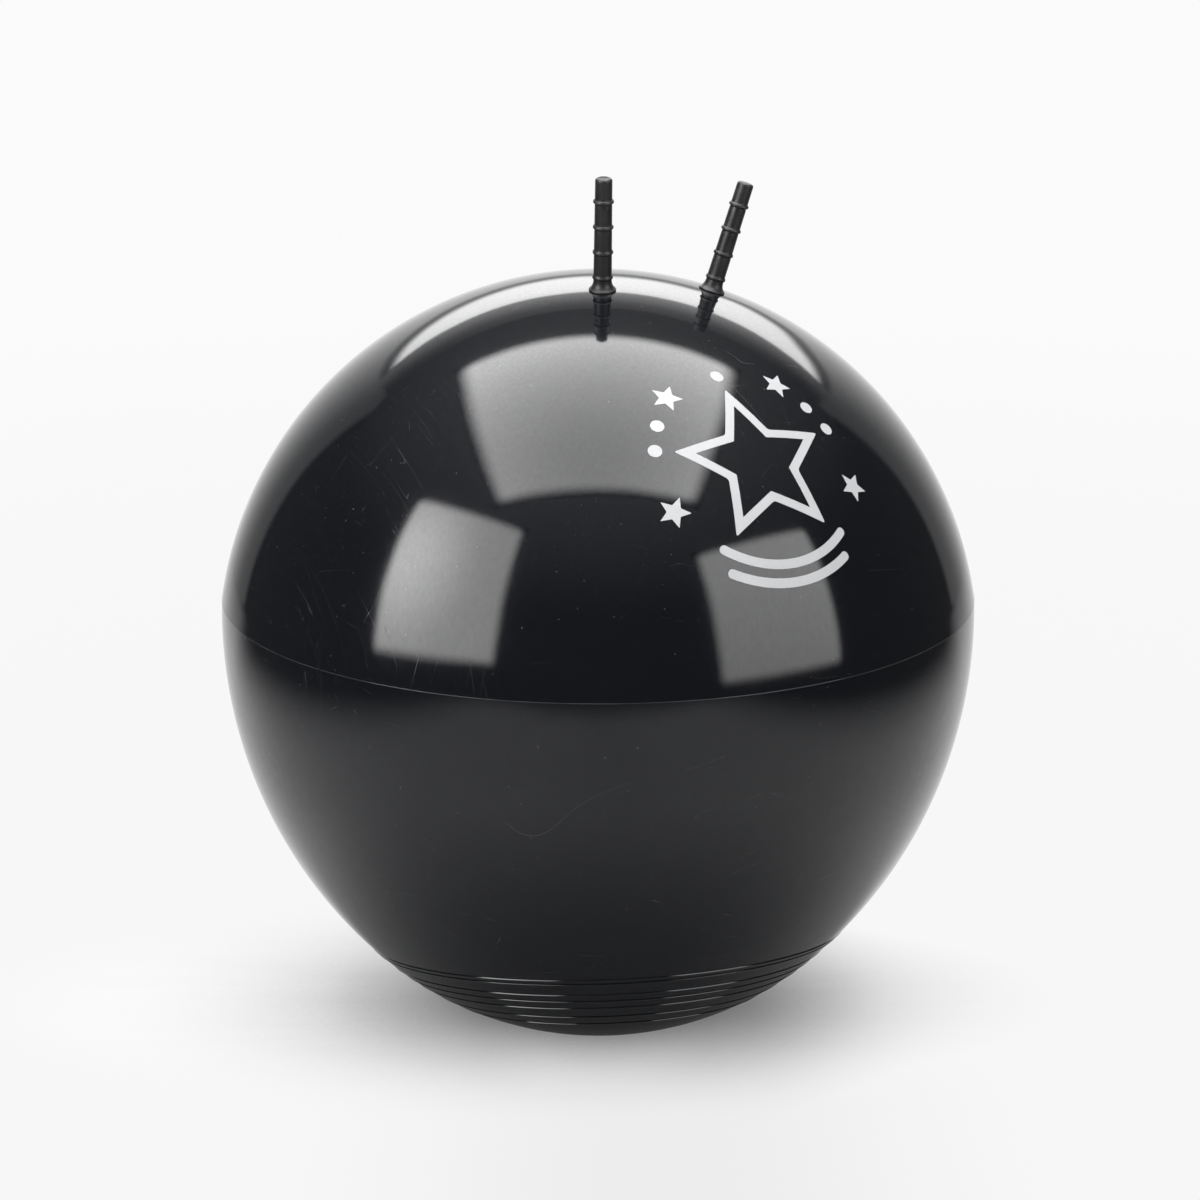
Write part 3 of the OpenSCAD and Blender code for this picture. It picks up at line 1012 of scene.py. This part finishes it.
bpy.ops.mesh.normals_make_consistent(inside=False)
edit("OBJECT")
if ink_print.data.polygons[0].normal.z < 0:
    ink_print.data.flip_normals()
thickness = ink_print.modifiers.new("thickness", "SOLIDIFY")
thickness.thickness = INK_T
thickness.offset = 1
bpy.ops.object.modifier_apply(modifier=thickness.name)
place(ink_print, AT_PRINT)
finish_piece(ink_print, "ball", "print", silver_ink)

# Studio: soft boxes, a white sweep and dark surroundings, laid out as seen from the camera
STUDIO = Matrix.Translation((0, 0, SEAM_HEIGHT)) @ Matrix.Rotation(CAMERA_AZIMUTH, 4, "Z")
BACKGROUND_WHITE = 0.96
FLOOR_WHITE = 0.93
ROOM_LEVEL = 0.05
BOX_EDGE = 0.09


def glow_group():
    """The brightness of a soft box: level, growth across and along it, a spot and soft edges."""
    group, given, result = new_group(
        "soft box glow",
        {"Vector": "vector", "Level": "float", "Across": "float", "Along": "float",
         "Spot": "vector", "Spot Level": "float", "Spot Size": "float"}, "Strength",
    )
    parts = axes(group, given["Vector"])
    across = maths(group, "MULTIPLY", parts["X"], given["Across"])
    along = maths(group, "MULTIPLY", parts["Y"], given["Along"])
    even = maths(group, "ADD", maths(group, "ADD", across, along), given["Level"])
    from_spot = distance_between(group, given["Vector"], given["Spot"])
    share = ramp(group, from_spot, 0.0, given["Spot Size"], 1.0, 0.0)
    lit = maths(group, "ADD", even, maths(group, "MULTIPLY", share, given["Spot Level"]))
    for axis in ("X", "Y"):
        off = maths(group, "ABSOLUTE", parts[axis])
        lit = maths(group, "MULTIPLY", lit, ramp(group, off, 0.5 - BOX_EDGE, 0.5, 1.0, 0.0))
    group.links.new(lit, result)
    return group


GLOW = glow_group()


def bare_material(name):
    """A material's empty tree and its Object coordinates."""
    material = bpy.data.materials.new(name)
    material.use_nodes = True
    tree = material.node_tree
    tree.nodes.clear()
    where = add_node(tree, "ShaderNodeTexCoord").outputs["Object"]
    return material, tree, where


def emission(tree, strength):
    return add_node(tree, "ShaderNodeEmission", {"Strength": strength}).outputs[0]


def stage_plane(name, matrix, strength):
    """A panel in the studio, hidden from the camera. strength makes its brightness."""
    bpy.ops.object.select_all(action="DESELECT")
    bpy.ops.mesh.primitive_plane_add(size=1)
    plane = bpy.context.object
    plane.name = name
    plane.matrix_world = STUDIO @ matrix
    material, tree, where = bare_material(name)
    glow = emission(tree, strength(tree, where))
    add_node(tree, "ShaderNodeOutputMaterial", {"Surface": glow})
    plane.data.materials.append(material)
    plane.visible_camera = False


def panel(low_left, top_left, top_right):
    """Place of a flat panel from three of its corners, with its width and height in it."""
    low_left, top_left, top_right = Vector(low_left), Vector(top_left), Vector(top_right)
    across = top_right - top_left
    along = top_left - low_left
    columns = (across, along, across.cross(along).normalized())
    matrix = Matrix([(*row,) for row in zip(*columns)]).to_4x4()
    matrix.translation = low_left + (across + along) / 2
    return matrix


def soft_box(name, matrix, level, across=0.0, along=0.0, spot=(0, 0, 0), spot_level=0.0, spot_size=1.0):
    def strength(tree, where):
        return placed_group(
            tree, GLOW,
            {"Vector": where, "Level": level, "Across": across, "Along": along, "Spot": spot,
             "Spot Level": spot_level, "Spot Size": spot_size},
        )

    stage_plane(name, matrix @ Matrix.Scale(1 + BOX_EDGE, 4), strength)


LEFT_PANEL = panel((-1.856, -0.918, 0.205), (-1.663, -0.522, 1.554), (-0.812, -1.49, 1.7))
RIGHT_PANEL = panel((1.124, -1.744, 0.137), (0.991, -1.501, 1.363), (1.968, -0.542, 1.288))
TOP_PANEL = panel((-0.84, -0.94, 1.5), (-0.8, 0.63, 1.5), (0.82, 0.65, 1.5))
soft_box(
    "left_soft_box", LEFT_PANEL, 4.6, across=-1.2, along=0.1, spot=(-0.32, 0.08, 0),
    spot_level=4.0, spot_size=0.62,
)
soft_box("right_soft_box", RIGHT_PANEL, 3.1, along=1.3)
soft_box("top_soft_box", TOP_PANEL, 7.4, spot=(0, -0.3, 0), spot_level=-3.6, spot_size=0.95)

WALL_DISTANCE = 2.0
WALL_REACH = 3.0
WALL_TOP = 2.2
WALL_HEIGHT = WALL_TOP + SEAM_HEIGHT
WALL_LEVEL = 1.05
CURVE_MIDDLE = 0.08
CURVE_RISE = 0.28
CURVE_LOW = 0.73
STRIP_TOP = 1.49
STRIP_FADE = 0.05

# Ramps of the wall: from and to in metres, and the values before and after where they are fixed
DIP_START = (0.35, 0.55, 0.0, 0.13)
DIP_END = (0.75, 1.15, 1.0, 0.3)
WALL_SIDES = (0.4, 2.3, WALL_LEVEL, 0.28)
WALL_ENDS = (2.5, 2.8, 1.0, 0.15)
WALL_ABOVE = (STRIP_TOP, STRIP_TOP + STRIP_FADE, 0.42, 0.9)
WALL_FADE = (STRIP_TOP + STRIP_FADE, 2.1, 1.0, 0.4)
WHITE_EDGE = (-0.17, -0.06)
STRIP_EDGE = (-0.03, 0.14)
STRIP_LEVEL = (0.6, STRIP_TOP, 2.1, 3.7)
STRIP_END = (STRIP_TOP - 0.02, STRIP_TOP + 0.03, 1.0, 0.0)


def wall_strength(tree, where):
    """White up to a curved edge, then a bright strip of light, and dimmer white above it."""
    parts = axes(tree, where)
    across = maths(tree, "MULTIPLY", parts["X"], 2 * WALL_REACH)
    middle = (WALL_TOP - SEAM_HEIGHT) / 2
    height = maths(tree, "ADD", maths(tree, "MULTIPLY", parts["Y"], WALL_HEIGHT), middle)
    aside = maths(tree, "SUBTRACT", across, CURVE_MIDDLE)
    square = maths(tree, "MULTIPLY", aside, aside)
    curve = maths(tree, "ADD", maths(tree, "MULTIPLY", square, CURVE_RISE), CURVE_LOW)
    dip = maths(tree, "MULTIPLY", ramp(tree, across, *DIP_START), ramp(tree, across, *DIP_END))
    over = maths(tree, "SUBTRACT", height, maths(tree, "SUBTRACT", curve, dip))
    side = maths(tree, "ABSOLUTE", across)
    fade = maths(tree, "MULTIPLY", ramp(tree, side, *WALL_SIDES), ramp(tree, side, *WALL_ENDS))
    above = maths(tree, "MULTIPLY", ramp(tree, height, *WALL_ABOVE), ramp(tree, height, *WALL_FADE))
    white = maths(tree, "MULTIPLY", ramp(tree, over, *WHITE_EDGE, 1.0, above), fade)
    strip = maths(tree, "MULTIPLY", ramp(tree, over, *STRIP_EDGE), ramp(tree, height, *STRIP_LEVEL))
    strip = maths(tree, "MULTIPLY", strip, ramp(tree, height, *STRIP_END))
    return maths(tree, "ADD", white, strip)


wall = panel(
    (-WALL_REACH, WALL_DISTANCE, -SEAM_HEIGHT), (-WALL_REACH, WALL_DISTANCE, WALL_TOP),
    (WALL_REACH, WALL_DISTANCE, WALL_TOP),
)
stage_plane("white_wall", wall, wall_strength)

# Floor: paper that keeps the ball's shadow near it and shines as white as the background further out.
# The ball mirrors only a part of it, with painted shade near the ball, and the other light meets lit
# paper with a painted contact shadow.
FLOOR_SIZE = 60.0
STREAKS_TURN = (0, 0, 0.03)
STREAKS_STRETCH = (6, 40, 1)
FIBRE_SCALE = 260.0
SHADE_STRETCH = (1, 2.4, 1)
FRONT_MIDDLE = 0.05

# Ramps of the floor: from and to, value before and value after, which are 0 and 1 if left out.
# The paper's tone goes by its pattern, the others by a distance in metres.
PAPER_TONE = (0.35, 0.65, 0.72, 0.78)
CONTACT_SIDES = (0.03, 0.1)
CONTACT_SHADE = (0.12, 0.24, 0.42, 0.0)
FRONT_SHADE = (0.02, 0.3, 0.08, 0.0)
FRONT_REACH = (-0.2, -0.05, 1.0, 0.0)
OUTER_WHITE = (0.5, 4.0, FLOOR_WHITE, BACKGROUND_WHITE)
SHADOW_EDGE = (0.05, 0.56, 0.08, 1.0)
SHADOW_RIGHT = (0.12, 0.28, 0.0, 0.22)

# Ramps of the mirrored floor. The last two go by how far a place lies towards the camera, from
# -1 to 1, and lead from one level to the next.
PAPER_FRONT = (-2.1, -1.3)
PAPER_WIDENING = (0.5, 1.8, 0.0, 1.3)
PAPER_SIDES = (0.7, 1.42, 1.0, 0.0)
# Levels of the mirrored paper: painted shade and light by place, darkest near the ball
LEVEL_BESIDE = (0.1, 0.5, 0.15, 0.8)
LEVEL_IN_FRONT = (0.13, 0.7, 0.02, 0.62)
LEVEL_BEHIND = (0.7, 2.2, 0.9, 0.38)
BESIDE_TO_FRONT = (0.0, 1.05)
BEHIND_TO_BESIDE = (-0.5, 0.0)


def lit_paper(tree, where, aside, distance):
    """Paper with faint streaks and fibres, and a painted contact shadow at the ball's sides where it
    meets the floor.
    """
    streaks = noise(tree, turned(tree, where, STREAKS_TURN, STREAKS_STRETCH), 1.0, detail=4.0)
    fibres = noise(tree, where, FIBRE_SCALE)
    mottle = maths(tree, "MULTIPLY", maths(tree, "ADD", streaks, fibres), 0.5)
    # Painted contact shadow: the paper's colour darkens beside the ball, near where it meets the floor
    sides = ramp(tree, aside, *CONTACT_SIDES)
    shade = maths(tree, "MULTIPLY", sides, ramp(tree, distance, *CONTACT_SHADE))
    contact = maths(tree, "SUBTRACT", 1.0, shade)
    tone = maths(tree, "MULTIPLY", ramp(tree, mottle, *PAPER_TONE), contact)
    return add_node(tree, "ShaderNodeBsdfDiffuse", {"Color": tone}).outputs[0]


def white_paper(tree, x, y, distance):
    """Shining paper, with a little painted shade in front of the ball."""
    off_middle = maths(tree, "ABSOLUTE", maths(tree, "SUBTRACT", x, FRONT_MIDDLE))
    shade = maths(tree, "MULTIPLY", ramp(tree, off_middle, *FRONT_SHADE), ramp(tree, y, *FRONT_REACH))
    return emission(tree, maths(tree, "SUBTRACT", ramp(tree, distance, *OUTER_WHITE), shade))


def white_share(tree, where, x):
    """How far the lit paper has turned into the shining paper; the turn comes sooner on the right, as
    painted light on that side of the ball's shadow.
    """
    flattened = add_node(tree, "ShaderNodeMapping", {"Vector": where, "Scale": SHADE_STRETCH})
    out = distance_between(tree, flattened.outputs["Vector"])
    share = maths(tree, "ADD", ramp(tree, out, *SHADOW_EDGE), ramp(tree, x, *SHADOW_RIGHT))
    return maths(tree, "MINIMUM", share, 1.0)


def mirrored_share(tree, y, aside, distance):
    """How much of the paper the ball mirrors: a sheet with soft edges, with painted shade that is
    darkest near the ball.
    """
    widening = ramp(tree, y, *PAPER_WIDENING)
    sides = ramp(tree, maths(tree, "SUBTRACT", aside, widening), *PAPER_SIDES)
    sheet = maths(tree, "MULTIPLY", ramp(tree, y, *PAPER_FRONT), sides)
    toward = maths(tree, "DIVIDE", maths(tree, "MULTIPLY", y, -1.0), distance)
    beside = ramp(tree, distance, *LEVEL_BESIDE)
    in_front = ramp(tree, distance, *LEVEL_IN_FRONT)
    around = ramp(tree, toward, *BESIDE_TO_FRONT, beside, in_front)
    behind = ramp(tree, aside, *LEVEL_BEHIND)
    level = ramp(tree, toward, *BEHIND_TO_BESIDE, behind, around)
    return maths(tree, "MULTIPLY", sheet, level)


bpy.ops.object.select_all(action="DESELECT")
bpy.ops.mesh.primitive_plane_add(size=FLOOR_SIZE)
floor = bpy.context.object
floor.name = "floor"
floor.rotation_euler = (0, 0, CAMERA_AZIMUTH)
floor_material, tree, where = bare_material("paper floor")
parts = axes(tree, where)
aside = maths(tree, "ABSOLUTE", parts["X"])
distance = distance_between(tree, where)
lit = lit_paper(tree, where, aside, distance)
white = white_paper(tree, parts["X"], parts["Y"], distance)
seen = mix_shaders(tree, white_share(tree, where, parts["X"]), lit, white)
paper = mirrored_share(tree, parts["Y"], aside, distance)
mirrored = mix_shaders(tree, paper, emission(tree, ROOM_LEVEL), seen)
rays = add_node(tree, "ShaderNodeLightPath").outputs
unseen = mix_shaders(tree, rays["Is Glossy Ray"], lit, mirrored)
surface = mix_shaders(tree, rays["Is Camera Ray"], unseen, seen)
add_node(tree, "ShaderNodeOutputMaterial", {"Surface": surface})
floor.data.materials.append(floor_material)

# World: white behind everything for the camera, and for the reflections a dim room with a
# lighter ceiling. The ceiling's ramp goes by how steeply a ray looks up.
CEILING = (0.4, 1.0, ROOM_LEVEL, 0.36)
WHITE = (1, 1, 1, 1)
world = bpy.data.worlds.new("studio")
scene.world = world
world.use_nodes = True
tree = world.node_tree
tree.nodes.clear()
upwards = add_node(tree, "ShaderNodeTexCoord").outputs["Generated"]
dim = ramp(tree, axes(tree, upwards)["Z"], *CEILING)
room, backdrop = [
    add_node(tree, "ShaderNodeBackground", {"Color": WHITE, "Strength": strength}).outputs[0]
    for strength in (dim, BACKGROUND_WHITE)
]
is_camera = add_node(tree, "ShaderNodeLightPath").outputs["Is Camera Ray"]
sky = mix_shaders(tree, is_camera, room, backdrop)
add_node(tree, "ShaderNodeOutputWorld", {"Surface": sky})

# Bring the scene up to date
bpy.context.view_layer.update()
